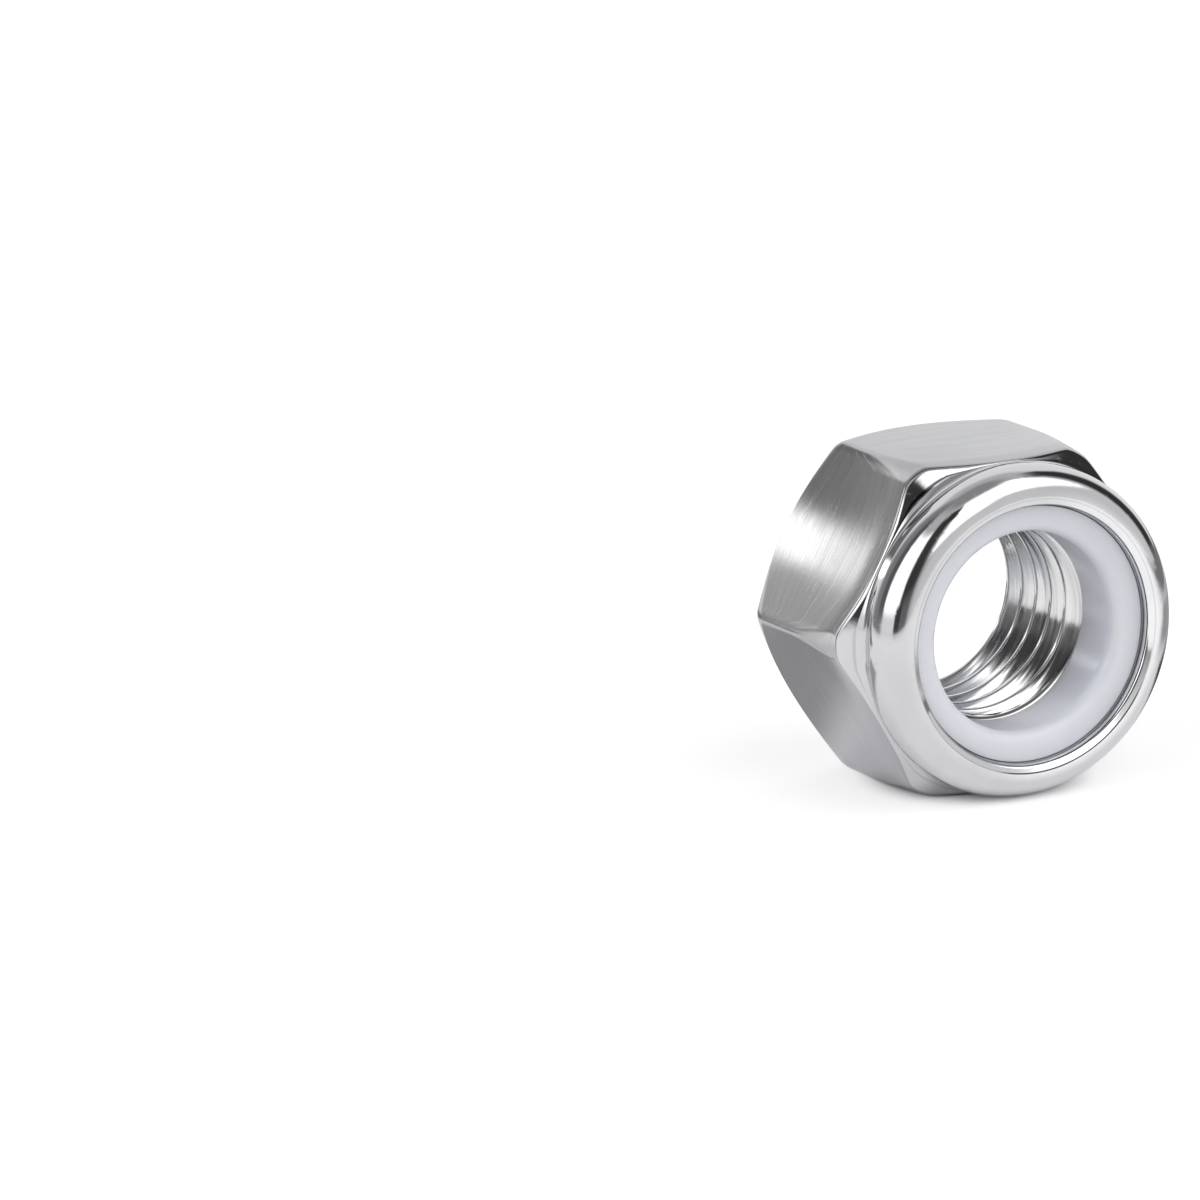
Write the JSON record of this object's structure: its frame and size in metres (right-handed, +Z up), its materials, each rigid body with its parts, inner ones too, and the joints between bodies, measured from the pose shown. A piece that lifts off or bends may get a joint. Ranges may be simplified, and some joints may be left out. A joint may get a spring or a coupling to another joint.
{
  "type": "nylon insert lock nut",
  "caption": "Hexagonal steel lock nut with chamfered corners, a coarse threaded hole and a domed collar rolled over a nylon ring that grips the bolt.",
  "frame": {"origin": "centre of the bounding box's base: on the flat that the nut rests on, below the hole's axis and midway along the nut's height", "axes": "+Y along the hole's axis towards the bearing face, -Y towards the collar and the nylon ring, +Z up through the top flat, X across the corners"},
  "size_m": [0.0342, 0.022, 0.03],
  "materials": {
    "steel": "bright steel, satin flats with fine scratches, polished chamfers and collar",
    "nylon": "translucent bluish white nylon, smooth"
  },
  "bodies": {
    "root": {"nut_body": "steel", "nylon_insert": "nylon"}
  },
  "joints": []
}
